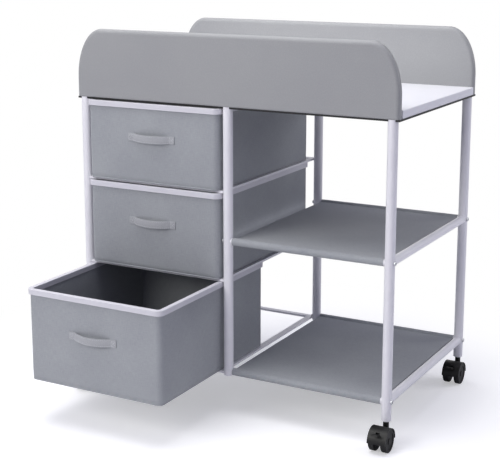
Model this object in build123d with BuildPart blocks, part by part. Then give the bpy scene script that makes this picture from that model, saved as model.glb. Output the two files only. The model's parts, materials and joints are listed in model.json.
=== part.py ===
from build123d import *
from math import atan2, cos, degrees, hypot, radians, sin
import os

# Portable changing table: a tube frame on four casters, three fabric drawers on
# the left, two sling shelves on the right and a padded guard along the front and
# the back of the top board. All sizes are in millimetres, +Z is up, the front
# faces -Y and the floor is z = 0.

# Tube frame
post_half_span = 383.0      # centre line of the outer posts, left and right
middle_post_x = -3.5        # centre line of the two middle posts
frame_depth = 460.0         # front post line to back post line
post_r = 11.0
post_wall = 1.5
corner_post_bottom = 60.0
middle_post_bottom = 93.0
weld_gap = 0.05             # between a tube's saddle cut and the post it meets

# Top: panel, board and guards
panel_bottom = 704.0
panel_thick = 4.0
panel_inset = 3.0           # panel edge behind the guard's face
top_overhang = 17.0         # top past the centre line of the outer posts
board_thick = 18.0
board_edge = 1.0            # small chamfer of the board's top edges
guard_thick = 20.0
guard_height = 157.0
guard_end_run = 66.0        # half axes of the guard's elliptical top corners
guard_end_drop = 112.0
guard_pad = 4.0             # padded cover over the board inside the guard
guard_edge_r = 6.0
guard_hem_r = 2.5
plug_height = 15.0
stud_r = 2.5
stud_height = 14.0
screw_r = 2.0
screw_head_r = 4.0
screw_head_height = 3.0
screw_bite = 18.0           # screw thread inside the top board's edge
screw_end = 50.0            # outermost screws from the ends of the top

# Shelves on the right
shelf_heights = {"upper": 406.5, "lower": 102.0}
rail_r = 7.5
rail_wall = 1.2
side_rail_r = 9.5
sleeve_wall = 1.0
deck_below_sleeve = 5.0     # deck surface under the top of the sleeves
deck_ply = 1.2
shelf_board_thick = 3.0
shelf_end_gap = 1.5
pocket_gap = 0.1
pocket_margin = 14.0        # pocket edge from the rail centre lines
pocket_end = 6.0
bolt_r = 2.5
bolt_hole_gap = 0.1
bolt_head_r = 4.8
bolt_head_height = 2.6
bolt_head_round = 1.0
bolt_bite = 12.0
insert_length = 16.0

# Drawer bay on the left
bar_tops = {"upper": 520.5, "middle": 317.5, "lower": 101.0}
bar_height = 5.0
bar_depth = 14.0
runner_width = 14.0
runner_thick = 1.6

# Fabric drawers
drawer_side_gap = 6.25      # drawer to the posts beside it
drawer_depth = 450.0
drawer_front = 17.0         # closed front in front of the front post line
drawer_3_open = 239.0       # how far the bottom drawer stands open
bin_wall = 5.0
bin_floor = 3.0
bin_corner_r = 12.0
slot_thick = 2.6            # slots in the walls that hold the stiffening boards
slot_gap = 0.05
slot_end = 8.0              # slot end beyond the rounded corner
base_board_thick = 3.0
base_board_gap = 0.6
rim_height = 12.0
rim_overhang = 4.5
rim_lip = 1.5
rim_cap = 2.0
rim_edge_r = 1.2
slide_gap = 0.4             # drawer floor over its runners
rim_gap = 0.8               # drawer rim under the bar or panel above it
handle_half = 48.0
handle_pad = 14.0
handle_bow = 13.0
strap_thick = 2.0
strap_height = 18.0
handle_drop = 0.43          # share of the drawer's height above the handle

# Twin-wheel casters
wheel_r = 25.0
wheel_thick = 13.0
wheel_gap = 0.5             # wheel's inner face to the hood's web
tread_r = 2.0
recess_r = 19.0
hub_r = 7.0
recess_depth = 1.5
axle_r = 2.5
axle_gap = 0.05
hub_cap = 2.0
trail = 26.0                # swivel axis to axle
hood_wall = 2.4
hood_gap = 1.1
hood_lip = 0.5              # hood side past the wheel's outer face
hood_drop = 1.0             # hood's lower edge under the axle
web_half = 7.0
axle_boss_r = 8.0
stem_r = 4.0
stem_gap = 0.05
stem_top_gap = 3.0          # stem's end under the lower shelf's bolts
collar_r = 6.5
collar_height = 3.2
swivel_gap = 0.4
boss_depth = 32.0
socket_height = 26.0
lever_pivot_r = 19.0        # lever pivot from the axle
lever_pivot_angle = 52.0    # above the horizontal, towards the front
lever_tip_reach = 40.0      # lever tip in front of the axle
lever_tip_rise = 24.0       # lever tip above the axle
lever_thick = 4.0
lever_half = 4.2
lever_hub_r = 4.0
lever_slot_gap = 0.4
lever_swing = 18.0
pin_r = 1.5
pin_gap = 0.05
pin_half = 6.5
tab_half = 7.5
tab_start = 14.0

# Places that follow from the sizes above
handle_reach = handle_bow + strap_thick
nearest = -(drawer_front + drawer_3_open + handle_reach)
farthest = frame_depth + post_r
front_y = -(nearest + farthest) / 2
back_y = front_y + frame_depth
board_bottom = panel_bottom + panel_thick
top_length = 2 * (post_half_span + top_overhang)
screw_row = top_length / 2 - screw_end
rows = {"front": front_y, "back": back_y}
outward = {"front": -1, "back": 1}
guard_face = {row: rows[row] + outward[row] * post_r for row in rows}
middle_y = (front_y + back_y) / 2
bay_left = -post_half_span + post_r
bay_right = middle_post_x - post_r
bay_x = (bay_left + bay_right) / 2
drawer_width = bay_right - bay_left - 2 * drawer_side_gap
sleeve_r = rail_r + sleeve_wall
hood_r = wheel_r + hood_gap + hood_wall
wheel_inner = web_half + wheel_gap
wheel_outer = wheel_inner + wheel_thick
boss_top = corner_post_bottom - collar_height - swivel_gap
posts = {
    "post_front_left": (-post_half_span, front_y, corner_post_bottom),
    "post_front_middle": (middle_post_x, front_y, middle_post_bottom),
    "post_front_right": (post_half_span, front_y, corner_post_bottom),
    "post_back_left": (-post_half_span, back_y, corner_post_bottom),
    "post_back_middle": (middle_post_x, back_y, middle_post_bottom),
    "post_back_right": (post_half_span, back_y, corner_post_bottom),
}
casters = {
    "front_left": (-post_half_span, front_y),
    "front_right": (post_half_span, front_y),
    "back_left": (-post_half_span, back_y),
    "back_right": (post_half_span, back_y),
}
drawers = {
    "drawer_1": (bar_tops["upper"], panel_bottom, 0.0),
    "drawer_2": (bar_tops["middle"], bar_tops["upper"] - bar_height, 0.0),
    "drawer_3": (bar_tops["lower"], bar_tops["middle"] - bar_height, drawer_3_open),
}


def save(piece, name):
    """Label a finished piece and write it as its own STEP file."""
    piece.part.label = name
    export_step(piece.part, f"parts/{name}.step")


def across(x, y=0.0, z=0.0):
    """Plane facing +X at a point, drawn with Y to the right and Z up."""
    return Plane(origin=(x, y, z), x_dir=(0, 1, 0), z_dir=(1, 0, 0))


def post_space(ends):
    """Room that the posts at the given places take, for the saddle cuts of tubes and bars."""
    with BuildPart() as space:
        with BuildSketch(Plane.XY):
            with Locations(*ends):
                Circle(post_r + weld_gap)
        extrude(amount=board_bottom)
    return space.part


def make_post(x, y, bottom):
    """Steel tube from the floor end to the guard, with holes for the rail bolts."""
    with BuildPart() as post:
        with BuildSketch(Plane.XY.offset(bottom)):
            with Locations((x, y)):
                Circle(post_r)
                Circle(post_r - post_wall, mode=Mode.SUBTRACT)
        extrude(amount=board_bottom - bottom)
        if x > bay_left:
            for height in shelf_heights.values():
                with BuildSketch(across(x, y, height)):
                    Circle(bolt_r + bolt_hole_gap)
                extrude(amount=2 * post_r, both=True, mode=Mode.SUBTRACT)
    return post


def make_post_plugs():
    """Plug in each post's top, with the stud that stands up into the guard's core."""
    with BuildPart() as plugs:
        with Locations(*[(x, y, board_bottom) for x, y, _ in posts.values()]):
            Cylinder(post_r - post_wall, plug_height, align=(Align.CENTER, Align.CENTER, Align.MAX))
            Cylinder(stud_r, stud_height, align=(Align.CENTER, Align.CENTER, Align.MIN))
    return plugs


def make_base_panel():
    """Thin dark panel under the board, notched round the posts."""
    with BuildPart() as panel:
        with BuildSketch(Plane.XY.offset(panel_bottom)):
            with Locations((0, middle_y)):
                Rectangle(top_length, frame_depth + 2 * (post_r - panel_inset))
            with Locations(*[(x, y) for x, y, _ in posts.values()]):
                Circle(post_r + weld_gap, mode=Mode.SUBTRACT)
        extrude(amount=panel_thick)
    return panel


def make_guard_screws():
    """Countersunk screws that hold each guard's core to the edge of the board."""
    length = guard_thick - guard_pad + screw_bite
    with BuildPart() as screws:
        for row, sign in outward.items():
            start = guard_face[row] - sign * guard_pad
            for x in (-screw_row, -screw_row / 3, screw_row / 3, screw_row):
                seat = Plane((x, start, board_bottom + board_thick / 2), z_dir=(0, -sign, 0))
                with BuildSketch(seat):
                    Circle(screw_r)
                extrude(amount=length)
                with BuildSketch(seat):
                    Circle(screw_head_r)
                with BuildSketch(seat.offset(screw_head_height)):
                    Circle(screw_r)
                loft()
    return screws


def side_rail_space():
    """Room that the side rails take, for the ends of the rails that meet them."""
    with BuildPart() as space:
        with BuildSketch(Plane.XZ.offset(-front_y)):
            with Locations(*[(post_half_span, height) for height in shelf_heights.values()]):
                Circle(side_rail_r + weld_gap)
        extrude(amount=-frame_depth)
    return space.part


def guard_outline(inset):
    """Face of a guard or of its core: straight foot, elliptical top corners."""
    half = top_length / 2 - inset
    run = guard_end_run - inset
    drop = guard_end_drop - inset
    top = guard_height - inset
    shoulder = top - drop
    with BuildSketch() as outline:
        with BuildLine():
            Polyline((-half, shoulder), (-half, 0), (half, 0), (half, shoulder))
            EllipticalCenterArc((half - run, shoulder), run, drop, start_angle=0, arc_size=90)
            Line((half - run, top), (run - half, top))
            EllipticalCenterArc((run - half, shoulder), run, drop, start_angle=90, arc_size=90)
        make_face()
    return outline.sketch


def guard_plane(row, inset):
    """Upright plane through a guard's front-most face, moved back by the inset."""
    near = min(guard_face[row], guard_face[row] - outward[row] * guard_thick)
    return Plane((0, near + inset, board_bottom), x_dir=(1, 0, 0), z_dir=(0, -1, 0))


def make_guard_core(row, screws, plugs):
    """Board inside a guard, bored for its screws and for the studs of the posts."""
    with BuildPart() as core:
        with BuildSketch(guard_plane(row, guard_pad)):
            add(guard_outline(guard_pad))
        extrude(amount=-(guard_thick - 2 * guard_pad))
        add(screws.part, mode=Mode.SUBTRACT)
        add(plugs.part, mode=Mode.SUBTRACT)
    return core


def make_guard_cover(row, screws):
    """Padded cover round a guard's core, open underneath where the core sits in."""
    with BuildPart() as cover:
        with BuildSketch(guard_plane(row, 0)):
            add(guard_outline(0))
        extrude(amount=-guard_thick)
        flat = cover.faces().filter_by(Axis.Y)
        rounded = flat.edges().filter_by(lambda edge: edge.center().Z > board_bottom + guard_hem_r)
        fillet(rounded, guard_edge_r)
        hem = cover.edges().filter_by(Axis.X).group_by(Axis.Z)[0]
        fillet(hem, guard_hem_r)
        with BuildSketch(guard_plane(row, guard_pad)):
            add(guard_outline(guard_pad))
        extrude(amount=-(guard_thick - 2 * guard_pad), mode=Mode.SUBTRACT)
        add(screws.part, mode=Mode.SUBTRACT)
    return cover


def make_top_board(screws):
    """White board between the guards, with the screw holes in its long edges."""
    with BuildPart() as board:
        with BuildSketch(Plane.XY.offset(board_bottom)):
            with Locations((0, middle_y)):
                Rectangle(top_length, frame_depth + 2 * (post_r - guard_thick))
        extrude(amount=board_thick)
        ends = board.faces().filter_by(Axis.X).edges().filter_by(Axis.Y)
        chamfer(ends, board_edge)
        add(screws.part, mode=Mode.SUBTRACT)
    return board


def make_rails(height):
    """Front and back tubes of a shelf, saddle-cut to the middle and right posts."""
    ends = [(x, y) for x in (middle_post_x, post_half_span) for y in rows.values()]
    with BuildPart() as rails:
        for y in rows.values():
            with BuildSketch(across(middle_post_x, y, height)):
                Circle(rail_r)
                Circle(rail_r - rail_wall, mode=Mode.SUBTRACT)
            extrude(amount=post_half_span - middle_post_x)
        add(post_space(ends), mode=Mode.SUBTRACT)
        add(side_rail_space(), mode=Mode.SUBTRACT)
    return rails


def make_rail_inserts():
    """Threaded inserts in the ends of the shelf rails."""
    ends = [(x, y) for x in (middle_post_x, post_half_span) for y in rows.values()]
    with BuildPart() as inserts:
        for x, side in ((middle_post_x, 1), (post_half_span, -1)):
            for y in rows.values():
                for height in shelf_heights.values():
                    with BuildSketch(across(x, y, height)):
                        Circle(rail_r - rail_wall)
                        Circle(bolt_r, mode=Mode.SUBTRACT)
                    extrude(amount=side * (post_r + insert_length))
        add(post_space(ends), mode=Mode.SUBTRACT)
        add(side_rail_space(), mode=Mode.SUBTRACT)
    return inserts


def make_frame_bolts():
    """Bolts through the middle and right posts into the rail inserts."""
    with BuildPart() as bolts:
        for x, side in ((middle_post_x, 1), (post_half_span, -1)):
            for y in rows.values():
                for height in shelf_heights.values():
                    seat = across(x - side * post_r, y, height)
                    with BuildSketch(seat):
                        Circle(bolt_r)
                    extrude(amount=side * (2 * post_r + bolt_bite))
                    with BuildSketch(seat):
                        Circle(bolt_head_r)
                    extrude(amount=-side * bolt_head_height)
        rims = bolts.edges().filter_by(GeomType.CIRCLE).filter_by(
            lambda edge: abs(edge.radius - bolt_head_r) < 0.01
            and min(abs(abs(edge.center().X - x) - post_r) for x in (middle_post_x, post_half_span)) > 1)
        fillet(rims, bolt_head_round)
    return bolts


def make_side_rail(height):
    """Bare tube between the two right posts."""
    with BuildPart() as rail:
        with BuildSketch(Plane.XZ.offset(-front_y)):
            with Locations((post_half_span, height)):
                Circle(side_rail_r)
                Circle(side_rail_r - post_wall, mode=Mode.SUBTRACT)
        extrude(amount=-frame_depth)
        add(post_space([(post_half_span, y) for y in rows.values()]), mode=Mode.SUBTRACT)
    return rail


shelf_left = middle_post_x + post_r + shelf_end_gap
shelf_right = post_half_span - post_r - shelf_end_gap
pocket_height = shelf_board_thick + 2 * pocket_gap
deck_thick = pocket_height + 2 * deck_ply


def deck_top(height):
    """Level of a shelf's deck for the height of its rails."""
    return height + sleeve_r - deck_below_sleeve


def make_shelf_fabric(height):
    """Sling: a sleeve round each rail and a two-ply deck with a pocket between."""
    top = deck_top(height)
    with BuildPart() as sling:
        with BuildSketch(across(shelf_left, 0, 0)):
            with Locations(*[(y, height) for y in rows.values()]):
                Circle(sleeve_r)
            with Locations((middle_y, top)):
                Rectangle(frame_depth, deck_thick, align=(Align.CENTER, Align.MAX))
            with Locations(*[(y, height) for y in rows.values()]):
                Circle(rail_r, mode=Mode.SUBTRACT)
        extrude(amount=shelf_right - shelf_left)
        with BuildSketch(across(shelf_left, 0, 0)):
            with Locations((middle_y, top - deck_ply)):
                Rectangle(frame_depth - 2 * pocket_margin, pocket_height, align=(Align.CENTER, Align.MAX))
        extrude(amount=shelf_right - shelf_left - pocket_end, mode=Mode.SUBTRACT)
    return sling


def make_shelf_board(height):
    """Stiff board in the sling's pocket."""
    with BuildPart() as board:
        with BuildSketch(across(shelf_left + pocket_gap, 0, 0)):
            with Locations((middle_y, deck_top(height) - deck_ply - pocket_gap)):
                Rectangle(frame_depth - 2 * (pocket_margin + pocket_gap), shelf_board_thick,
                          align=(Align.CENTER, Align.MAX))
        extrude(amount=shelf_right - shelf_left - pocket_end - 2 * pocket_gap)
    return board


def make_bay_bars(top, bolts):
    """Front and back bars of one drawer level, welded between the left and middle posts."""
    ends = [(x, y) for x in (-post_half_span, middle_post_x) for y in rows.values()]
    with BuildPart() as bars:
        with BuildSketch(Plane.XY.offset(top)):
            with Locations(*[((middle_post_x - post_half_span) / 2, y) for y in rows.values()]):
                Rectangle(post_half_span + middle_post_x, bar_depth)
        extrude(amount=-bar_height)
        add(post_space(ends), mode=Mode.SUBTRACT)
        add(bolts.part, mode=Mode.SUBTRACT)
    return bars


def make_runners(top):
    """Pair of angle runners under one drawer, welded between the bars."""
    start = front_y + bar_depth / 2
    with BuildPart() as runners:
        with BuildSketch(Plane.XZ.offset(-start)):
            with Locations((bay_left, top)):
                Rectangle(runner_width, runner_thick, align=(Align.MIN, Align.MAX))
                Rectangle(runner_thick, bar_height, align=(Align.MIN, Align.MAX))
        extrude(amount=-(frame_depth - bar_depth))
        mirror(about=Plane.YZ.offset(bay_x))
    return runners


def wall_strips(thick):
    """Four straight strips along the middle of a drawer's walls."""
    across_x = (drawer_width - bin_wall) / 2
    across_y = (drawer_depth - bin_wall) / 2
    corner = 2 * (bin_corner_r + slot_end)
    with BuildSketch() as strips:
        with Locations((0, -across_y), (0, across_y)):
            Rectangle(drawer_width - corner, thick)
        with Locations((-across_x, 0), (across_x, 0)):
            Rectangle(thick, drawer_depth - corner)
    return strips.sketch


def make_bin(centre_y, bottom, wall_top):
    """Fabric body of a drawer, open at the top, with slots in its walls."""
    with BuildPart() as bag:
        with BuildSketch(Plane((bay_x, centre_y, bottom))):
            RectangleRounded(drawer_width, drawer_depth, bin_corner_r)
        extrude(amount=wall_top - bottom)
        with BuildSketch(Plane((bay_x, centre_y, bottom + bin_floor))):
            RectangleRounded(drawer_width - 2 * bin_wall, drawer_depth - 2 * bin_wall, bin_corner_r - bin_wall)
        extrude(amount=wall_top - bottom, mode=Mode.SUBTRACT)
        with BuildSketch(Plane((bay_x, centre_y, bottom + bin_floor))):
            add(wall_strips(slot_thick))
        extrude(amount=wall_top - bottom, mode=Mode.SUBTRACT)
    return bag


def make_drawer_boards(centre_y, bottom, wall_top):
    """Stiffening boards in the walls and the loose board on the drawer's floor."""
    side = bin_wall + base_board_gap
    with BuildPart() as boards:
        with BuildSketch(Plane((bay_x, centre_y, bottom + bin_floor))):
            add(wall_strips(slot_thick - 2 * slot_gap))
        extrude(amount=wall_top - bottom - bin_floor)
        with BuildSketch(Plane((bay_x, centre_y, bottom + bin_floor))):
            RectangleRounded(drawer_width - 2 * side, drawer_depth - 2 * side, bin_corner_r - side)
        extrude(amount=base_board_thick)
    return boards


def make_rim(centre_y, top):
    """Stiff band that caps the walls all round and stands out past them."""
    inner = bin_wall + rim_lip
    with BuildPart() as rim:
        with BuildSketch(Plane((bay_x, centre_y, top - rim_height))):
            RectangleRounded(drawer_width + 2 * rim_overhang, drawer_depth + 2 * rim_overhang,
                             bin_corner_r + rim_overhang)
            RectangleRounded(drawer_width - 2 * inner, drawer_depth - 2 * inner,
                             bin_corner_r - inner, mode=Mode.SUBTRACT)
        extrude(amount=rim_height)
        fillet(rim.edges().group_by(Axis.Z)[-1], rim_edge_r)
        with BuildSketch(Plane((bay_x, centre_y, top - rim_height))):
            RectangleRounded(drawer_width, drawer_depth, bin_corner_r)
            RectangleRounded(drawer_width - 2 * bin_wall, drawer_depth - 2 * bin_wall,
                             bin_corner_r - bin_wall, mode=Mode.SUBTRACT)
        extrude(amount=rim_height - rim_cap, mode=Mode.SUBTRACT)
    return rim


def make_handle(front, height):
    """Webbing strap sewn on at both ends and bowed out between them."""
    with BuildPart() as strap:
        with BuildSketch(Plane((bay_x, front, height - strap_height / 2))):
            with BuildLine():
                ThreePointArc((-handle_half, 0), (0, -handle_bow), (handle_half, 0))
                Polyline((handle_half, 0), (handle_half + handle_pad, 0),
                         (handle_half + handle_pad, -strap_thick), (handle_half, -strap_thick))
                ThreePointArc((handle_half, -strap_thick), (0, -handle_reach), (-handle_half, -strap_thick))
                Polyline((-handle_half, -strap_thick), (-handle_half - handle_pad, -strap_thick),
                         (-handle_half - handle_pad, 0), (-handle_half, 0))
            make_face()
        extrude(amount=strap_height)
    return strap


def make_caster_sockets():
    """Sleeves in the feet of the corner posts that grip the caster stems."""
    with BuildPart() as sockets:
        with BuildSketch(Plane.XY.offset(corner_post_bottom)):
            with Locations(*casters.values()):
                Circle(post_r - post_wall)
                Circle(stem_r, mode=Mode.SUBTRACT)
        extrude(amount=socket_height)
    return sockets


def make_caster_stems():
    """Stem of each caster with the collar that the post stands on."""
    stem_bottom = boss_top - boss_depth + swivel_gap
    stem_top = shelf_heights["lower"] - bolt_r - stem_top_gap
    with BuildPart() as stems:
        with BuildSketch(Plane.XY.offset(stem_bottom)):
            with Locations(*casters.values()):
                Circle(stem_r)
        extrude(amount=stem_top - stem_bottom)
        with BuildSketch(Plane.XY.offset(corner_post_bottom)):
            with Locations(*casters.values()):
                Circle(collar_r)
        extrude(amount=-collar_height)
    return stems


pivot_y = -trail - lever_pivot_r * cos(radians(lever_pivot_angle))
pivot_z = wheel_r + lever_pivot_r * sin(radians(lever_pivot_angle))
lever_run = pivot_y + trail + lever_tip_reach
lever_rise = wheel_r + lever_tip_rise - pivot_z
lever_length = hypot(lever_run, lever_rise)
lever_tilt = degrees(atan2(lever_rise, lever_run))


def make_hood(x, y):
    """Hood of a caster: fender over both wheels, web, swivel boss and lever slot."""
    side = across(x, y)
    with BuildPart() as hood:
        with BuildSketch(side):
            with Locations((-trail, wheel_r)):
                Circle(hood_r)
            with Locations((-trail, wheel_r - hood_drop)):
                Rectangle(3 * hood_r, 2 * hood_r, align=(Align.CENTER, Align.MAX), mode=Mode.SUBTRACT)
        extrude(amount=wheel_outer + hood_lip, both=True)
        for sign in (-1, 1):
            with BuildSketch(side.offset(sign * web_half)):
                with Locations((-trail, wheel_r)):
                    Circle(wheel_r + hood_gap)
            extrude(amount=sign * wheel_outer, mode=Mode.SUBTRACT)
        with BuildSketch(side):
            with Locations((-trail, wheel_r)):
                Circle(axle_boss_r)
        extrude(amount=web_half, both=True)
        with BuildSketch(Plane.XY.offset(boss_top)):
            with Locations((x, y)):
                Circle(collar_r)
        extrude(amount=-boss_depth)
        with BuildSketch(Plane.XY.offset(boss_top)):
            with Locations((x, y)):
                Circle(stem_r + stem_gap)
        extrude(amount=-boss_depth + swivel_gap, mode=Mode.SUBTRACT)
        with BuildSketch(side):
            with Locations((-trail, wheel_r)):
                Circle(axle_r)
            with Locations((pivot_y, pivot_z)):
                Circle(pin_r + pin_gap)
        extrude(amount=2 * web_half, both=True, mode=Mode.SUBTRACT)
        with BuildSketch(side):
            with Locations((pivot_y, pivot_z)):
                Circle(lever_hub_r + lever_slot_gap)
                for swing in (0, lever_swing / 2, lever_swing):
                    Rectangle(2 * hood_r, lever_thick + 2 * lever_slot_gap,
                              rotation=180 - lever_tilt - swing, align=(Align.MIN, Align.CENTER))
        extrude(amount=lever_half + lever_slot_gap, both=True, mode=Mode.SUBTRACT)
    return hood


def make_axle(x, y):
    """Steel axle pressed through the hood's web."""
    with BuildPart() as axle:
        with BuildSketch(across(x, y)):
            with Locations((-trail, wheel_r)):
                Circle(axle_r)
        extrude(amount=wheel_outer - hub_cap - swivel_gap, both=True)
    return axle


def make_wheels(x, y):
    """Two wheels on one axle, recessed on their outer faces."""
    with BuildPart() as wheels:
        for sign in (-1, 1):
            with BuildSketch(across(x + sign * wheel_inner, y)):
                with Locations((-trail, wheel_r)):
                    Circle(wheel_r)
            extrude(amount=sign * wheel_thick)
        fillet(wheels.edges().filter_by(GeomType.CIRCLE), tread_r)
        for sign in (-1, 1):
            with BuildSketch(across(x + sign * wheel_outer, y)):
                with Locations((-trail, wheel_r)):
                    Circle(recess_r)
                    Circle(hub_r, mode=Mode.SUBTRACT)
            extrude(amount=-sign * recess_depth, mode=Mode.SUBTRACT)
            with BuildSketch(across(x + sign * wheel_inner, y)):
                with Locations((-trail, wheel_r)):
                    Circle(axle_r + axle_gap)
            extrude(amount=sign * (wheel_thick - hub_cap), mode=Mode.SUBTRACT)
    return wheels


def make_lever(x, y):
    """Brake lever: hub with pins, arm through the slot and a wider foot tab."""
    side = across(x, y)
    tab = (pivot_y - tab_start * cos(radians(lever_tilt)), pivot_z + tab_start * sin(radians(lever_tilt)))
    with BuildPart() as lever:
        with BuildSketch(side):
            with Locations((pivot_y, pivot_z)):
                Circle(lever_hub_r)
                Rectangle(lever_length, lever_thick, rotation=180 - lever_tilt,
                          align=(Align.MIN, Align.CENTER))
        extrude(amount=lever_half, both=True)
        with BuildSketch(side):
            with Locations(tab):
                Rectangle(lever_length - tab_start, lever_thick, rotation=180 - lever_tilt,
                          align=(Align.MIN, Align.CENTER))
        extrude(amount=tab_half, both=True)
        with BuildSketch(side):
            with Locations((pivot_y, pivot_z)):
                Circle(pin_r)
        extrude(amount=pin_half, both=True)
    return lever


os.makedirs("parts", exist_ok=True)

for name, (x, y, bottom) in posts.items():
    save(make_post(x, y, bottom), name)
plugs = make_post_plugs()
save(plugs, "post_plugs")
save(make_base_panel(), "base_panel")
screws = make_guard_screws()
save(screws, "guard_screws")
for row in rows:
    save(make_guard_core(row, screws, plugs), f"guard_{row}_core")
    save(make_guard_cover(row, screws), f"guard_{row}_cover")
save(make_top_board(screws), "top_board")

for level, height in shelf_heights.items():
    save(make_rails(height), f"{level}_shelf_rails")
    save(make_side_rail(height), f"{level}_side_rail")
    save(make_shelf_fabric(height), f"{level}_shelf_fabric")
    save(make_shelf_board(height), f"{level}_shelf_board")
save(make_rail_inserts(), "rail_inserts")
bolts = make_frame_bolts()
save(bolts, "frame_bolts")

for level, top in bar_tops.items():
    save(make_bay_bars(top, bolts), f"{level}_bay_bars")
    save(make_runners(top), f"{level}_runners")

for name, (seat, ceiling, opened) in drawers.items():
    bottom = seat + slide_gap
    top = ceiling - rim_gap
    front = front_y - drawer_front - opened
    centre_y = front + drawer_depth / 2
    save(make_bin(centre_y, bottom, top - rim_cap), f"{name}_bin")
    save(make_drawer_boards(centre_y, bottom, top - rim_cap), f"{name}_boards")
    save(make_rim(centre_y, top), f"{name}_rim")
    save(make_handle(front, top - handle_drop * (top - bottom)), f"{name}_handle")

save(make_caster_sockets(), "caster_sockets")
save(make_caster_stems(), "caster_stems")
for corner, (x, y) in casters.items():
    save(make_hood(x, y), f"caster_{corner}_hood")
    save(make_axle(x, y), f"caster_{corner}_axle")
    save(make_wheels(x, y), f"caster_{corner}_wheels")
    save(make_lever(x, y), f"caster_{corner}_lever")
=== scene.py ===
import json
import math

import bmesh
import bpy
import numpy as np
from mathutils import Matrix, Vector, noise


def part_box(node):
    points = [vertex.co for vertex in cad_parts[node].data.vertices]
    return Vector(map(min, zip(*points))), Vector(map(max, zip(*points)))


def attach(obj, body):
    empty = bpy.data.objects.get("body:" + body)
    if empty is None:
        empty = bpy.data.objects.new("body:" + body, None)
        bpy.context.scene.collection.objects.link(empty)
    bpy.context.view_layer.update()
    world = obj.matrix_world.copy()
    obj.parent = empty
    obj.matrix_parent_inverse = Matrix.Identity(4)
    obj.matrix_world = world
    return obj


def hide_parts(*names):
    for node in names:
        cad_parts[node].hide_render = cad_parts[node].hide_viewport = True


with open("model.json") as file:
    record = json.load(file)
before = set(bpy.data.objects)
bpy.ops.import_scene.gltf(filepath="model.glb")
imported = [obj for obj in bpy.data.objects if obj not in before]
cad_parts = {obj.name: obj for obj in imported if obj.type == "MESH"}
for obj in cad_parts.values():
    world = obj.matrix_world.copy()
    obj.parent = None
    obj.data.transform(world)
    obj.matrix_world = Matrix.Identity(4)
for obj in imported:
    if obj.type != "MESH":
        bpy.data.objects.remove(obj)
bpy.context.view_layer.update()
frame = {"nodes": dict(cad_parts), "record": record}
nodes = frame["nodes"]

# The looks of a portable changing table: padded guards, fabric drawers, sling
# shelves, webbing handles and the finish of every tube, board and caster.
# Lengths are in millimetres here and turned to metres where a mesh is made.
MM = 0.001

# Camera, from the posts, guards and shelves of the photograph
IMAGE_WIDTH, IMAGE_HEIGHT = 500, 472
FOCAL_PIXELS = 1194.6
AXIS_ROW = 185.0            # image row that the lens axis meets
CAMERA_FROM_POST = (1667.0, -2240.0, 1064.1)    # from the foot of the front left post
CAMERA_YAW = 28.82          # degrees, towards -X
CAMERA_PITCH = 11.60        # degrees, downwards

# Padded guards
END_RUN, END_DROP = 66.0, 112.0     # half axes of the elliptical top corners
GUARD_GRID = (181, 61)
GUARD_ROUND = 9.0           # rounding of the padded edges
EDGE_POWER = 2.3            # a rounding between a circle and a square
GUARD_HEM = 3.0             # rounding of the foot, which stays wider than the core
GUARD_FOOT = 0.72
GUARD_BELOW = 50.0          # edge line carried under the foot, so that it isn't rounded
GUARD_RIPPLE, GUARD_WAVE = 0.25, 70.0
CALM_EDGE = 30.0            # width along an edge or seam over which ripples die out

# Fabric drawers
BIN_WALL, BIN_FLOOR, BIN_BOARD = 5.0, 3.0, 3.0
BIN_CORNER, BIN_CORNER_LEAST = 12.0, 2.5
BIN_RIPPLE, BIN_WAVE = 0.6, 85.0
BEAD_R = 1.5                # sewn bead round the bottom of each drawer
BEAD_INSET = 0.9

# Webbing handles
HANDLE_HALF, HANDLE_PAD, HANDLE_BOW = 48.0, 14.0, 13.0
HANDLE_SAG = 1.2
STRAP_THICK, STRAP_HEIGHT = 2.0, 18.0
STRAP_LINE = 2.6            # thread line from each edge of the strap
BOX_NEAR, BOX_FAR, BOX_HALF = 1.0, 1.5, 6.4     # margins and half height of the boxed ends
THREAD_PROUD = 0.05
STITCH_LENGTH, STITCH_GAP, THREAD_R = 3.2, 1.4, 0.32
THREAD_SIDES, THREAD_KNOTS = 6, 5

# Shelf slings
SLEEVE_R, RAIL_R = 8.5, 7.55
SLEEVE_CREASE = 60          # degrees from which an edge stays crisp
DECK_THICK, DECK_DROP = 5.6, 5.0
DECK_SAG, DECK_RIPPLE, DECK_WAVE = 0.8, 0.5, 75.0
HEM_LINE, HEM_DEPTH, HEM_WIDTH = 14.0, 0.5, 1.5
PUCKER, PUCKER_WAVE = 0.25, 16.0

BOLT_HEAD = 2.6
SOCKET_RINGS = ((2.6, -0.05), (2.45, 0.12), (2.15, 0.12), (2.0, 0.03))   # radius, height over the head

# Colours
LEATHER_LIGHT, LEATHER_DARK = "#989999", "#8e8f91"
FABRIC_LIGHT, FABRIC_DARK = "#a4a7a9", "#94979b"
# Webbing: a lit and a shaded colour of one grey, painted across the ribs as highlight and shade.
STRAP_RIB_LIT, STRAP_RIB_SHADED = "#d2d3d5", "#8f9194"
THREAD_LIGHT, THREAD_DARK = "#d6d8da", "#bfc1c4"


def low(node):
    """Lowest corner of a CAD node in millimetres."""
    return [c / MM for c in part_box(node)[0]]


def high(node):
    """Highest corner of a CAD node in millimetres."""
    return [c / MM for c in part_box(node)[1]]


# Meshes

def mesh_piece(name, points, faces, body, material, replaces=()):
    """Makes an object from points in millimetres and rides it on a body."""
    mesh = bpy.data.meshes.new(name)
    mesh.from_pydata([tuple(c * MM for c in p) for p in points], [], faces)
    work = bmesh.new()
    work.from_mesh(mesh)
    bmesh.ops.remove_doubles(work, verts=work.verts, dist=1e-6)
    bmesh.ops.recalc_face_normals(work, faces=work.faces)
    work.to_mesh(mesh)
    work.free()
    mesh.shade_smooth()
    piece = bpy.data.objects.new(name, mesh)
    bpy.context.scene.collection.objects.link(piece)
    mesh.materials.append(material)
    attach(piece, body)
    if replaces:
        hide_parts(*replaces)
    return piece


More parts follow.
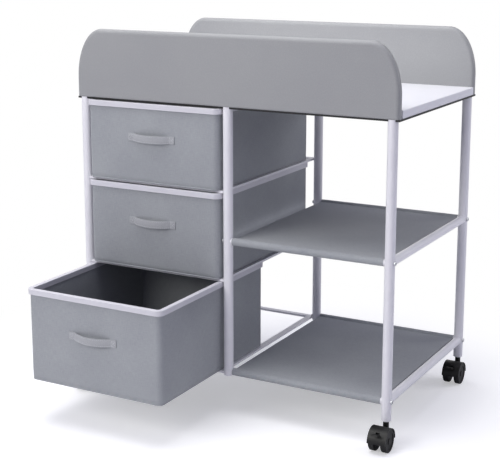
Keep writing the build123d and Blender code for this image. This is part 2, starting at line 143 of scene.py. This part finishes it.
def sharpen(piece, angle):
    """Smooth shading that stays crisp at edges sharper than an angle."""
    piece.data.shade_smooth()
    work = bmesh.new()
    work.from_mesh(piece.data)
    for edge in work.edges:
        if len(edge.link_faces) == 2 and edge.calc_face_angle(0) > math.radians(angle):
            edge.smooth = False
    work.to_mesh(piece.data)
    work.free()


def quads(rows, columns, wrap=False, start=0):
    """Faces of a grid of points, row after row."""
    faces = []
    for i in range(rows - 1):
        for j in range(columns if wrap else columns - 1):
            k = (j + 1) % columns
            faces.append((start + i * columns + j, start + i * columns + k,
                          start + (i + 1) * columns + k, start + (i + 1) * columns + j))
    return faces


def ripple(x, y, z, scale):
    """Smooth noise from -1 to 1 whose waves are about scale millimetres long."""
    return noise.noise(Vector((x, y, z)) / scale)


def round_off(depth, radius):
    """Share of the full thickness at a depth inside a rounded edge."""
    q = 1 - np.clip(depth / radius, 0, 1)
    return (1 - q ** EDGE_POWER) ** (1 / EDGE_POWER)


def guard(row, material):
    """Padded guard: leatherette drawn over a foam-faced board, soft all round its edge."""
    lo, hi = low(f"guard_{row}_cover"), high(f"guard_{row}_cover")
    half, foot, top = (hi[0] - lo[0]) / 2, lo[2], hi[2]
    mid_y, half_thick = (lo[1] + hi[1]) / 2, (hi[1] - lo[1]) / 2
    columns, rows = GUARD_GRID
    xs = -half * np.cos(np.linspace(0, math.pi, columns))
    share = (1 - np.cos(np.linspace(0, math.pi, rows))) / 2
    along = np.clip((np.abs(xs) - (half - END_RUN)) / END_RUN, 0, 1)
    tops = top - END_DROP * (1 - np.sqrt(1 - along ** 2))
    bend = np.linspace(0, math.pi / 2, 60)
    shoulder = top - END_DROP
    edge_x = np.concatenate([[half, half], half - END_RUN + END_RUN * np.cos(bend), [0]])
    edge_z = np.concatenate([[foot - GUARD_BELOW, shoulder], shoulder + END_DROP * np.sin(bend), [top]])
    start = np.stack([edge_x[:-1], edge_z[:-1]], 1)
    step = np.stack([edge_x[1:], edge_z[1:]], 1) - start
    points = []
    for side in (-1, 1):
        for z_share in share:
            for x, z_top in zip(xs, tops):
                z = foot + (z_top - foot) * z_share
                here = np.array([abs(x), z])
                t = np.clip(((here - start) * step).sum(1) / (step ** 2).sum(1).clip(1e-9), 0, 1)
                depth = np.linalg.norm(start + step * t[:, None] - here, axis=1).min()
                hem = GUARD_FOOT + (1 - GUARD_FOOT) * round_off(z - foot, GUARD_HEM)
                thick = half_thick * round_off(depth, GUARD_ROUND) * hem
                wave = GUARD_RIPPLE * (ripple(x, side * 90, z, GUARD_WAVE) - 1) * min(depth / CALM_EDGE, 1)
                points.append((x, mid_y + side * max(thick + wave, 0), z))
    faces = quads(rows, columns) + quads(rows, columns, start=rows * columns)
    faces += [(j, j + 1, rows * columns + j + 1, rows * columns + j) for j in range(columns - 1)]
    piece = mesh_piece(f"guard_{row}_pad", points, faces, "frame", material,
                       (f"guard_{row}_cover",))


def rounded_ring(half_x, half_y, corner, straight=26, bend=8):
    """Points of a rounded rectangle round the origin, with their outward directions."""
    ring = []
    corners = ((half_x, half_y, 0), (-half_x, half_y, 90), (-half_x, -half_y, 180), (half_x, -half_y, 270))
    for n, (cx, cy, turn) in enumerate(corners):
        centre = (cx - math.copysign(corner, cx), cy - math.copysign(corner, cy))
        for k in range(bend + 1):
            a = math.radians(turn + 90 * k / bend)
            ring.append((centre[0] + corner * math.cos(a), centre[1] + corner * math.sin(a),
                         math.cos(a), math.sin(a)))
        nx, ny, _ = corners[(n + 1) % 4]
        last = ring[-1]
        a = math.radians(turn + 90)
        following = (nx - math.copysign(corner, nx) + corner * math.cos(a),
                     ny - math.copysign(corner, ny) + corner * math.sin(a))
        for k in range(1, straight):
            s = k / straight
            ring.append((last[0] + (following[0] - last[0]) * s, last[1] + (following[1] - last[1]) * s,
                         math.cos(a), math.sin(a)))
    return ring


def drawer_bin(name, material):
    """Fabric drawer: boards in the walls, soft corners, a sewn bead round the bottom.

    The shell is a stack of rings, each an inset from the outer face and a height: in under the
    bottom, round the bead, up the wall, over its top and down to the floor inside.
    """
    lo, hi = low(f"{name}_bin"), high(f"{name}_bin")
    cx, cy = (lo[0] + hi[0]) / 2, (lo[1] + hi[1]) / 2
    half_x, half_y = (hi[0] - lo[0]) / 2, (hi[1] - lo[1]) / 2
    bottom, top = lo[2], hi[2]
    inner_floor = bottom + BIN_FLOOR + BIN_BOARD
    bead_top = bottom + 2 * BEAD_R
    wall = np.linspace(bottom + 12, top - 14, 22)
    outside = [(3.0, bottom), (1.6, bottom + 0.05)]
    for k in range(7):
        a = math.radians(-90 + 30 * k)
        outside.append((BEAD_INSET - BEAD_R * math.cos(a) * 0.6, bottom + BEAD_R + BEAD_R * math.sin(a)))
    outside += [(BEAD_INSET, bead_top + 0.4), (0.1, bead_top + 1.6)]
    outside += [(0.0, z) for z in wall]
    outside += [(0.2, top - 8), (0.6, top)]
    inside = [(BIN_WALL - 0.6, top), (BIN_WALL, top - 8)]
    inside += [(BIN_WALL, z) for z in wall[::-1] if z > inner_floor + 8]
    inside += [(BIN_WALL + 0.3, inner_floor + 3), (BIN_WALL + 1.6, inner_floor + 0.4)]
    inside.append((BIN_WALL + 4, inner_floor))
    points = []
    for sign, rings in ((1, outside), (-1, inside)):
        for inset, z in rings:
            calm = min(max((z - bottom - 6) / CALM_EDGE, 0), 1) * min(max((top - 10 - z) / CALM_EDGE, 0), 1)
            corner = max(BIN_CORNER - inset, BIN_CORNER_LEAST)
            for x, y, dx, dy in rounded_ring(half_x - inset, half_y - inset, corner):
                shift = sign * BIN_RIPPLE * (ripple(x, y, z * 0.6, BIN_WAVE) + 0.6) * calm
                points.append((cx + x + dx * shift, cy + y + dy * shift, z))
    ring_count = len(outside) + len(inside)
    count = len(points) // ring_count
    faces = quads(ring_count, count, wrap=True)
    faces.append(tuple(range(count)))
    faces.append(tuple(range(len(points) - count, len(points))))
    mesh_piece(f"{name}_fabric", points, faces, name, material, (f"{name}_bin",))


def strap_path():
    """Line of a handle in plan: x along the drawer front, y out of it, with its direction."""
    radius = (HANDLE_HALF ** 2 + HANDLE_BOW ** 2) / (2 * HANDLE_BOW)
    spread = math.asin(HANDLE_HALF / radius)
    centre = radius - HANDLE_BOW
    path = [(-HANDLE_HALF - HANDLE_PAD + HANDLE_PAD * k / 6, 0.0, 0.0) for k in range(6)]
    for k in range(49):
        a = -spread + 2 * spread * k / 48
        path.append((radius * math.sin(a), radius * math.cos(a) - centre, -a))
    path += [(HANDLE_HALF + HANDLE_PAD * k / 6, 0.0, 0.0) for k in range(1, 7)]
    return path


def strap_section():
    """Cross-section of the webbing: across its height, through its thickness."""
    half, thick = STRAP_HEIGHT / 2, STRAP_THICK / 2
    section = []
    for k in range(40):
        a = math.tau * k / 40
        across = half * math.copysign(abs(math.cos(a)) ** 0.35, math.cos(a))
        through = thick * math.copysign(abs(math.sin(a)) ** 0.6, math.sin(a))
        groove = 0.35 * math.exp(-((abs(across) - (half - STRAP_LINE)) / 0.6) ** 2)
        section.append((across, through * (1 - groove)))
    return section


def handle(name, material, thread):
    """Webbing strap with a thread line along both edges and boxed ends."""
    lo, hi = low(f"{name}_handle"), high(f"{name}_handle")
    cx, cz, front = (lo[0] + hi[0]) / 2, (lo[2] + hi[2]) / 2, hi[1]
    path, section = strap_path(), strap_section()
    points = []
    for x, out, tilt in path:
        sag = HANDLE_SAG * out / HANDLE_BOW
        for across, through in section:
            depth = out + STRAP_THICK / 2 + through * math.cos(tilt)
            points.append((cx + x + through * math.sin(-tilt), front - depth, cz + across - sag))
    faces = quads(len(path), len(section), wrap=True)
    faces.append(tuple(range(len(section))))
    faces.append(tuple(range(len(points) - len(section), len(points))))
    mesh_piece(f"{name}_strap", points, faces, name, material, (f"{name}_handle",))
    face = front - STRAP_THICK - THREAD_PROUD
    edge = STRAP_HEIGHT / 2 - STRAP_LINE
    lines = [[(cx + x, face - out, cz + height - HANDLE_SAG * out / HANDLE_BOW) for x, out, _ in path[1:-1]]
             for height in (-edge, edge)]
    near, far = HANDLE_HALF + BOX_NEAR, HANDLE_HALF + HANDLE_PAD - BOX_FAR
    corners = ((near, -BOX_HALF), (near, BOX_HALF), (far, -BOX_HALF), (far, BOX_HALF))
    for sign in (-1, 1):
        for start, end in ((0, 3), (1, 2), (0, 1), (2, 3)):
            lines.append([(cx + sign * x, face, cz + z) for x, z in (corners[start], corners[end])])
    stitches(f"{name}_stitches", lines, (0, -1, 0), name, thread)


def stitches(name, lines, outward, body, material):
    """Short raised threads along lines, each a small arched bar."""
    points, faces = [], []
    out = Vector(outward)
    for line in lines:
        knots = [Vector(p) for p in line]
        lengths = np.cumsum([0] + [(b - a).length for a, b in zip(knots, knots[1:])])
        where = STITCH_GAP
        while where + STITCH_LENGTH < lengths[-1]:
            arch = []
            for k in range(THREAD_KNOTS):
                s = where + STITCH_LENGTH * k / (THREAD_KNOTS - 1)
                n = min(int(np.searchsorted(lengths, s, side="right")) - 1, len(knots) - 2)
                base = knots[n].lerp(knots[n + 1], (s - lengths[n]) / max(lengths[n + 1] - lengths[n], 1e-9))
                arch.append(base + out * THREAD_R * (0.8 * math.sin(math.pi * k / (THREAD_KNOTS - 1)) - 0.45))
            along = (arch[-1] - arch[0]).normalized()
            side = along.cross(out).normalized()
            first = len(points)
            for k, p in enumerate(arch):
                size = THREAD_R * (0.55 if k in (0, THREAD_KNOTS - 1) else 1.0)
                for a in range(THREAD_SIDES):
                    angle = math.tau * a / THREAD_SIDES
                    points.append(p + side * (size * math.cos(angle)) + out * (size * math.sin(angle)))
            faces += quads(THREAD_KNOTS, THREAD_SIDES, wrap=True, start=first)
            faces.append(tuple(range(first, first + THREAD_SIDES)))
            faces.append(tuple(range(len(points) - THREAD_SIDES, len(points))))
            where += STITCH_LENGTH + STITCH_GAP
    mesh_piece(name, [tuple(p) for p in points], faces, body, material)


def shelf(level, material, thread):
    """Sling of a shelf: a sleeve round each rail, a flat deck and sewn lines beside the sleeves."""
    node = f"{level}_shelf_fabric"
    lo, hi = low(node), high(node)
    left, right = lo[0], hi[0]
    front, back = lo[1] + SLEEVE_R, hi[1] - SLEEVE_R
    rail_z = lo[2] + SLEEVE_R
    top = rail_z + SLEEVE_R - DECK_DROP
    under = top - DECK_THICK
    upper_angle = math.degrees(math.asin((top - rail_z) / SLEEVE_R))
    lower_angle = math.degrees(math.asin((under - rail_z) / SLEEVE_R))
    outline = []
    for k in range(29):
        a = math.radians(upper_angle + (360 + lower_angle - upper_angle) * k / 28)
        outline.append((front + SLEEVE_R * math.cos(a), rail_z + SLEEVE_R * math.sin(a)))
    deck_ys = np.linspace(front + SLEEVE_R + 3, back - SLEEVE_R - 3, 34)
    outline += [(y, under) for y in deck_ys]
    for k in range(29):
        a = math.radians(180 - lower_angle + (360 + lower_angle - upper_angle) * k / 28)
        outline.append((back + SLEEVE_R * math.cos(a), rail_z + SLEEVE_R * math.sin(a)))
    outline += [(y, top) for y in deck_ys[::-1]]
    columns = np.linspace(left, right, 40)
    points, faces = [], []
    for x in columns:
        for y, z in outline:
            inside = min(max(min(y - front, back - y) - SLEEVE_R, 0) / CALM_EDGE, 1)
            ends = min(min(x - left, right - x) / 25, 1)
            drop = (DECK_RIPPLE * ripple(x, y, 0, DECK_WAVE) - DECK_SAG * ends) * inside
            if z > rail_z and y - front < 2 * HEM_LINE:
                drop -= HEM_DEPTH * math.exp(-((abs(y - front) - HEM_LINE) / HEM_WIDTH) ** 2)
            pucker = PUCKER * ripple(x * 2.2, y, z, PUCKER_WAVE) * (1 - inside)
            points.append((x, y, z + drop + pucker))
    count = len(outline)
    faces += quads(len(columns), count, wrap=True)
    for centre in (front, back):
        first = len(points)
        for x in columns:
            for k in range(32):
                a = math.tau * k / 32
                points.append((x, centre + RAIL_R * math.cos(a), rail_z + RAIL_R * math.sin(a)))
        faces += quads(len(columns), 32, wrap=True, start=first)
    piece = mesh_piece(f"{level}_sling", points, faces, "frame", material, (node,))
    work = bmesh.new()
    work.from_mesh(piece.data)
    for x in (left, right):
        rim = [e for e in work.edges if e.is_boundary and abs(e.verts[0].co.x - x * MM) < 1e-6]
        bmesh.ops.triangle_fill(work, use_beauty=True, use_dissolve=False, edges=rim)
    bmesh.ops.recalc_face_normals(work, faces=work.faces)
    work.to_mesh(piece.data)
    work.free()
    sharpen(piece, SLEEVE_CREASE)
    lines = [[(x, y, top - 0.75) for x in np.linspace(left + 2, right - 2, 60)]
             for y in (front + HEM_LINE, back - HEM_LINE)]
    stitches(f"{level}_sling_stitches", lines, (0, 0, 1), "frame", thread)


def bolt_sockets(material):
    """Hexagonal socket in the head of every shelf bolt."""
    points, faces = [], []
    for place, side in (("middle", -1), ("right", 1)):
        for row in ("front", "back"):
            lo, hi = low(f"post_{row}_{place}"), high(f"post_{row}_{place}")
            head = (hi[0] if side > 0 else lo[0]) + side * BOLT_HEAD
            for level in ("upper", "lower"):
                rails = f"{level}_shelf_rails"
                height = (low(rails)[2] + high(rails)[2]) / 2
                first = len(points)
                for radius, proud in SOCKET_RINGS:
                    for k in range(6):
                        a = math.tau * k / 6
                        points.append((head + side * proud, (lo[1] + hi[1]) / 2 + radius * math.cos(a),
                                       height + radius * math.sin(a)))
                faces += quads(len(SOCKET_RINGS), 6, wrap=True, start=first)
                faces.append(tuple(range(len(points) - 6, len(points))))
    sockets = mesh_piece("bolt_sockets", points, faces, "frame", material)
    sockets.data.shade_flat()


# Materials

def linear(code):
    """Linear colour of an sRGB hex value."""
    parts = [int(code[n:n + 2], 16) / 255 for n in (1, 3, 5)]
    return tuple(c / 12.92 if c <= 0.04045 else ((c + 0.055) / 1.055) ** 2.4 for c in parts) + (1.0,)


def add(tree, kind, inputs=None, **settings):
    """Adds a shader node, sets its properties, and fills or links its input sockets."""
    made = tree.nodes.new(f"ShaderNode{kind}")
    for key, value in settings.items():
        setattr(made, key, value)
    for key, value in (inputs or {}).items():
        if isinstance(value, bpy.types.NodeSocket):
            tree.links.new(value, made.inputs[key])
        else:
            made.inputs[key].default_value = value
    return made


def finish_material(name, **sockets):
    """A material with its surface shader's plain sockets set, ready for patterns."""
    material = bpy.data.materials.new(name)
    material.use_nodes = True
    tree = material.node_tree
    shader = tree.nodes["Principled BSDF"]
    for key, value in sockets.items():
        shader.inputs[key.replace("_", " ")].default_value = value
    return material, tree, shader


def per_metre(size_mm):
    """Texture scale whose features are about size_mm apart on coordinates in metres."""
    return 1 / (size_mm * MM)


def leatherette():
    """Polyurethane leatherette, embossed: a matte grey skin with a fine pebble and a soft highlight."""
    material, tree, shader = finish_material("PU_leatherette_embossed", Sheen_Weight=0.05)
    place = add(tree, "TexCoord").outputs["Object"]
    # The real pebble is under 1 mm; it is drawn at 1.8 mm so that a pixel can show it.
    pebble = add(tree, "TexVoronoi", {"Vector": place, "Scale": per_metre(1.8)}, feature="SMOOTH_F1")
    crease = add(tree, "TexNoise", {"Vector": place, "Scale": per_metre(9), "Detail": 5.0, "Roughness": 0.6})
    cloud = add(tree, "TexNoise", {"Vector": place, "Scale": per_metre(160), "Detail": 2.0})
    tone = add(tree, "Mix", {0: cloud.outputs["Fac"], 6: linear(LEATHER_DARK), 7: linear(LEATHER_LIGHT)},
               data_type="RGBA")
    # Painted shade: the pebble's hollows are drawn a little darker and the tops of its grains a little
    # lighter.
    pebble_hollow_shade = add(tree, "MapRange", {"Value": pebble.outputs["Distance"], "From Max": 0.7,
                                  "To Min": 0.92, "To Max": 1.03})
    colour = add(tree, "VectorMath", {0: tone.outputs[2], 1: pebble_hollow_shade.outputs[0]}, operation="MULTIPLY")
    height = add(tree, "Math", {0: pebble.outputs["Distance"], 1: crease.outputs["Fac"]}, operation="ADD")
    bump = add(tree, "Bump", {"Height": height.outputs[0], "Strength": 0.35, "Distance": 0.15 * MM})
    gloss = add(tree, "MapRange", {"Value": crease.outputs["Fac"], "To Min": 0.46, "To Max": 0.60})
    tree.links.new(colour.outputs[0], shader.inputs["Base Color"])
    tree.links.new(bump.outputs[0], shader.inputs["Normal"])
    tree.links.new(gloss.outputs[0], shader.inputs["Roughness"])
    return material


def woven(name, light, dark, thread_mm, sheen):
    """Plain-woven polyester: crossing threads with slubs, a matte face and a faint fuzz at grazing light."""
    material, tree, shader = finish_material(name, Roughness=0.88, Sheen_Weight=sheen, Sheen_Roughness=0.5,
                                             Specular_IOR_Level=0.3)
    coords = add(tree, "TexCoord")
    place = add(tree, "SeparateXYZ", {0: coords.outputs["Object"]})
    facing = add(tree, "SeparateXYZ", {0: coords.outputs["Normal"]})
    level = add(tree, "Math", {0: facing.outputs["Z"]}, operation="ABSOLUTE")
    level = add(tree, "Math", {0: level.outputs[0], 1: 0.7}, operation="GREATER_THAN")
    wall = add(tree, "Math", {0: place.outputs["X"], 1: place.outputs["Y"]}, operation="ADD")
    warp = add(tree, "Mix", {0: level.outputs[0], 2: wall.outputs[0], 3: place.outputs["X"]})
    weft = add(tree, "Mix", {0: level.outputs[0], 2: place.outputs["Z"], 3: place.outputs["Y"]})
    turn = math.tau * per_metre(2 * thread_mm)
    waves = []
    for run in (warp, weft):
        angle = add(tree, "Math", {0: run.outputs[0], 1: turn}, operation="MULTIPLY")
        waves.append(add(tree, "Math", {0: angle.outputs[0]}, operation="SINE"))
    cross = add(tree, "Math", {0: waves[0].outputs[0], 1: waves[1].outputs[0]}, operation="MULTIPLY")
    flat = add(tree, "CombineXYZ", {0: warp.outputs[0], 1: weft.outputs[0]})
    slubs = []
    for stretch in ((per_metre(14), per_metre(1.2), 1), (per_metre(1.2), per_metre(14), 1)):
        drawn = add(tree, "VectorMath", {0: flat.outputs[0], 1: stretch}, operation="MULTIPLY")
        slubs.append(add(tree, "TexNoise", {"Vector": drawn.outputs[0], "Scale": 1.0, "Detail": 2.0}))
    slub = add(tree, "Math", {0: slubs[0].outputs["Fac"], 1: slubs[1].outputs["Fac"]}, operation="ADD")
    cloud = add(tree, "TexNoise", {"Vector": coords.outputs["Object"], "Scale": per_metre(120),
                                   "Detail": 3.0})
    mixed = add(tree, "Math", {0: slub.outputs[0], 1: cloud.outputs["Fac"]}, operation="ADD")
    share = add(tree, "MapRange", {"Value": mixed.outputs[0], "From Min": 1.1, "From Max": 1.9})
    colour = add(tree, "Mix", {0: share.outputs[0], 6: linear(dark), 7: linear(light)}, data_type="RGBA")
    shade = add(tree, "MapRange", {"Value": cross.outputs[0], "From Min": -1.0,
                                   "To Min": 0.9, "To Max": 1.05})
    colour = add(tree, "VectorMath", {0: colour.outputs[2], 1: shade.outputs[0]}, operation="MULTIPLY")
    relief = add(tree, "Math", {0: cross.outputs[0], 1: slub.outputs[0]}, operation="ADD")
    bump = add(tree, "Bump", {"Height": relief.outputs[0], "Strength": 0.4, "Distance": 0.12 * MM})
    tree.links.new(colour.outputs[0], shader.inputs["Base Color"])
    tree.links.new(bump.outputs[0], shader.inputs["Normal"])
    return material


def webbing():
    """Polyester webbing, rib-woven: ribs across the strap that catch the light one by one; their lit crests
    and shaded grooves are painted into the colour.
    """
    material, tree, shader = finish_material("polyester_webbing_ribbed", Roughness=0.8, Sheen_Weight=0.15)
    coords = add(tree, "TexCoord")
    place = add(tree, "SeparateXYZ", {0: coords.outputs["Object"]})
    # The real ribs are 0.8 mm apart; they are drawn at 1.8 mm so that a pixel can show them.
    angle = add(tree, "Math", {0: place.outputs["X"], 1: math.tau * per_metre(1.8)}, operation="MULTIPLY")
    rib = add(tree, "Math", {0: angle.outputs[0]}, operation="SINE")
    fibre = add(tree, "TexNoise", {"Vector": coords.outputs["Object"], "Scale": per_metre(1.5),
                                   "Detail": 3.0})
    # Painted highlight and shade: each rib's crest takes the lit colour and its groove the shaded one, on top
    # of the rib's bump.
    shade = add(tree, "MapRange", {"Value": rib.outputs[0], "From Min": -1.0, "To Min": 0.15, "To Max": 0.85})
    share = add(tree, "Math", {0: shade.outputs[0], 1: fibre.outputs["Fac"]}, operation="MULTIPLY")
    colour = add(tree, "Mix", {0: share.outputs[0], 6: linear(STRAP_RIB_SHADED), 7: linear(STRAP_RIB_LIT)},
                 data_type="RGBA")
    bump = add(tree, "Bump", {"Height": rib.outputs[0], "Strength": 0.5, "Distance": 0.2 * MM})
    tree.links.new(colour.outputs[2], shader.inputs["Base Color"])
    tree.links.new(bump.outputs[0], shader.inputs["Normal"])
    return material


def coated(name, light, dark, roughness, texture_mm, relief_mm, coat=0.0, specular=0.5, metallic=0.0):
    """A moulded, painted or coated skin: one colour that drifts a little, an orange peel in its gloss."""
    material, tree, shader = finish_material(name, Coat_Weight=coat, Coat_Roughness=0.2,
                                             Specular_IOR_Level=specular, Metallic=metallic)
    place = add(tree, "TexCoord").outputs["Object"]
    drift = add(tree, "TexNoise", {"Vector": place, "Scale": per_metre(45), "Detail": 3.0})
    peel = add(tree, "TexNoise", {"Vector": place, "Scale": per_metre(texture_mm), "Detail": 4.0})
    colour = add(tree, "Mix", {0: drift.outputs["Fac"], 6: linear(dark), 7: linear(light)}, data_type="RGBA")
    gloss = add(tree, "MapRange", {"Value": peel.outputs["Fac"], "From Min": 0.3, "From Max": 0.7,
                                   "To Min": roughness - 0.05, "To Max": roughness + 0.07})
    bump = add(tree, "Bump", {"Height": peel.outputs["Fac"], "Strength": 0.3, "Distance": relief_mm * MM})
    tree.links.new(colour.outputs[2], shader.inputs["Base Color"])
    tree.links.new(gloss.outputs[0], shader.inputs["Roughness"])
    tree.links.new(bump.outputs[0], shader.inputs["Normal"])
    return material


materials = {
    "grey_leatherette": leatherette(),
    # The real threads are 0.5 mm apart; they are drawn at 1.3 mm so that a pixel can show them.
    "grey_fabric": woven("polyester_oxford_woven", FABRIC_LIGHT, FABRIC_DARK, 1.3, 0.12),
    "grey_webbing": webbing(),
    # Twisted sewing thread: paler than the cloth, so that each stitch reads as a small bright bar.
    "thread": coated("polyester_thread_twisted", THREAD_LIGHT, THREAD_DARK, 0.6, 1.2, 0.1),
    # Polypropylene, moulded: a smooth satin band that reads paler than the cloth under it.
    "light_rim": coated("polypropylene_moulded", "#d3d2d7", "#c9c8ce", 0.48, 1.5, 0.04),
    # Polyester powder coat, baked on steel tube: white, with a broad soft highlight down each tube.
    "white_steel_tube": coated("powder_coat_white_baked", "#e9e8eb", "#e0dfe3", 0.33, 1.6, 0.03, coat=0.15),
    "white_steel_bar": coated("powder_coat_bar_baked", "#e9e8eb", "#e0dfe3", 0.38, 1.6, 0.03),
    # Melamine, pressed on fibreboard: bright, flat and smooth, with a faint satin reflection.
    "white_board": coated("melamine_white_pressed", "#e4e4e7", "#dfdfe3", 0.36, 2.2, 0.02),
    # A near-black sheet under the top, drawn as black fibreboard that swallows the light: it gives the dark
    # line under the top and above the top drawer, partly a dark base and partly painted shadow in the gap.
    "black_panel": coated("black_base_and_gap_shadow", "#141416", "#0e0e10", 0.7, 1.2, 0.05),
    # Fibreboard, sanded: a tan felted face with no grain.
    "core_board": coated("fibreboard_raw_sanded", "#c09a6c", "#ab8557", 0.85, 2.5, 0.08),
    "plug_plastic": coated("polyethylene_moulded", "#d8d8d8", "#cfcfcf", 0.5, 2.0, 0.03),
    # Nylon, injection moulded: near black with a soft satin sheen on its curves.
    "black_plastic": coated("nylon_black_moulded", "#0f0f10", "#0a0a0b", 0.46, 1.2, 0.04, specular=0.35),
    # Polyurethane tread, cast: duller and a shade greyer than the hood.
    "black_tread": coated("polyurethane_tread_cast", "#161617", "#101011", 0.55, 1.5, 0.06, specular=0.35),
    # Steel, zinc plated: small bright heads.
    "bright_steel": coated("steel_zinc_plated", "#cfd1d4", "#bfc1c5", 0.3, 1.0, 0.02, metallic=1.0),
    "dark_steel": coated("steel_turned_plain", "#8f9195", "#7d7f83", 0.34, 0.8, 0.03, metallic=1.0),
}

slot_of = {part["node"]: part["material_slot"] for part in frame["record"]["subparts"]}
for name, piece in nodes.items():
    piece.data.materials.clear()
    piece.data.materials.append(materials[slot_of[name]])

for row in ("front", "back"):
    guard(row, materials["grey_leatherette"])
for name in ("drawer_1", "drawer_2", "drawer_3"):
    drawer_bin(name, materials["grey_fabric"])
    handle(name, materials["grey_webbing"], materials["thread"])
for level in ("upper", "lower"):
    shelf(level, materials["grey_fabric"], materials["thread"])
bolt_sockets(materials["dark_steel"])


# Floor, light and camera

FLOOR_SIZE, FLOOR_BACK = 14.0, 2.0      # metres; the floor's centre is behind the table
FADE_FROM, FADE_TO = 0.42, 0.98         # metres from the table over which shadows turn to white

def light(name, size, place, target, watts, colour=(1, 1, 1)):
    """Large soft lamp that looks at a point."""
    lamp = bpy.data.lights.new(name, "AREA")
    lamp.shape, lamp.size, lamp.size_y = "RECTANGLE", size[0], size[1]
    lamp.energy, lamp.color = watts, colour
    holder = bpy.data.objects.new(name, lamp)
    holder.visible_camera = False
    holder.location = place
    holder.rotation_euler = (Vector(target) - Vector(place)).to_track_quat("-Z", "Y").to_euler()
    bpy.context.scene.collection.objects.link(holder)


def studio():
    """Pale floor, white surroundings for the lens and reflections, a top light and weaker side lights."""
    bpy.ops.mesh.primitive_plane_add(size=FLOOR_SIZE, location=(0, FLOOR_BACK, 0))
    floor = bpy.context.object
    floor.name = "floor"
    material, tree, shader = finish_material("studio_floor", Roughness=0.9, Specular_IOR_Level=0.1)
    shader.inputs["Base Color"].default_value = linear("#e9e9ea")
    seen = add(tree, "LightPath")
    glow = add(tree, "Emission", {"Color": (1, 1, 1, 1), "Strength": 0.38})
    lit = add(tree, "AddShader", {0: shader.outputs[0], 1: glow.outputs[0]})
    white = add(tree, "Emission", {"Color": (1, 1, 1, 1), "Strength": 1.0})
    place = add(tree, "TexCoord").outputs["Object"]
    away = add(tree, "VectorMath", {0: place, 1: (0.0, -FLOOR_BACK, 0.0)}, operation="DISTANCE")
    fade = add(tree, "MapRange", {"Value": away.outputs["Value"], "From Min": FADE_FROM, "From Max": FADE_TO},
               interpolation_type="SMOOTHSTEP")
    shown = add(tree, "MixShader", {0: fade.outputs[0], 1: lit.outputs[0], 2: white.outputs[0]})
    pick = add(tree, "MixShader", {0: seen.outputs["Is Camera Ray"], 1: shader.outputs[0],
                                   2: shown.outputs[0]})
    tree.links.new(pick.outputs[0], tree.nodes["Material Output"].inputs["Surface"])
    floor.data.materials.append(material)
    world = bpy.data.worlds.new("studio")
    world.use_nodes = True
    bpy.context.scene.world = world
    tree = world.node_tree
    seen = add(tree, "LightPath")
    direct = add(tree, "Math", {0: seen.outputs["Is Camera Ray"], 1: seen.outputs["Is Glossy Ray"]},
                 operation="MAXIMUM")
    direct = add(tree, "Math", {0: direct.outputs[0], 1: seen.outputs["Is Transmission Ray"]},
                 operation="MAXIMUM")
    level = add(tree, "MapRange", {"Value": direct.outputs[0], "To Min": 0.36, "To Max": 1.0})
    shade = add(tree, "Mix", {0: direct.outputs[0], 6: linear("#dcdcff"), 7: (1, 1, 1, 1)}, data_type="RGBA")
    ground = tree.nodes["Background"]
    tree.links.new(shade.outputs[2], ground.inputs["Color"])
    tree.links.new(level.outputs[0], ground.inputs["Strength"])
    light("top_light", (2.4, 2.0), (-0.4, -0.3, 3.0), (0, 0, 0.4), 62)
    light("front_light", (2.0, 1.6), (-1.2, -3.2, 2.1), (-0.1, 0, 0.45), 60, (1.0, 0.985, 0.955))
    light("right_light", (1.4, 1.2), (2.6, 1.9, 1.5), (0.2, 0.1, 0.4), 22)
    light("tray_light", (0.7, 0.1), (0, -0.05, 0.95), (0, 0.35, 0.81), 0.8)


def camera():
    """Camera at the photograph's viewpoint."""
    lens = bpy.data.cameras.new("camera")
    lens.sensor_width = 36.0
    lens.lens = FOCAL_PIXELS / IMAGE_WIDTH * lens.sensor_width
    lens.shift_y = -(IMAGE_HEIGHT / 2 - AXIS_ROW) / IMAGE_WIDTH
    holder = bpy.data.objects.new("camera", lens)
    post_lo, post_hi = low("post_front_left"), high("post_front_left")
    post = ((post_lo[0] + post_hi[0]) / 2, (post_lo[1] + post_hi[1]) / 2, 0.0)
    holder.location = [(a + b) * MM for a, b in zip(post, CAMERA_FROM_POST)]
    yaw, pitch = math.radians(CAMERA_YAW), math.radians(CAMERA_PITCH)
    ahead = Vector((-math.sin(yaw) * math.cos(pitch), math.cos(yaw) * math.cos(pitch), -math.sin(pitch)))
    holder.rotation_euler = ahead.to_track_quat("-Z", "Y").to_euler()
    bpy.context.scene.collection.objects.link(holder)
    bpy.context.scene.camera = holder


studio()
camera()
bpy.context.scene.view_settings.view_transform = "Standard"
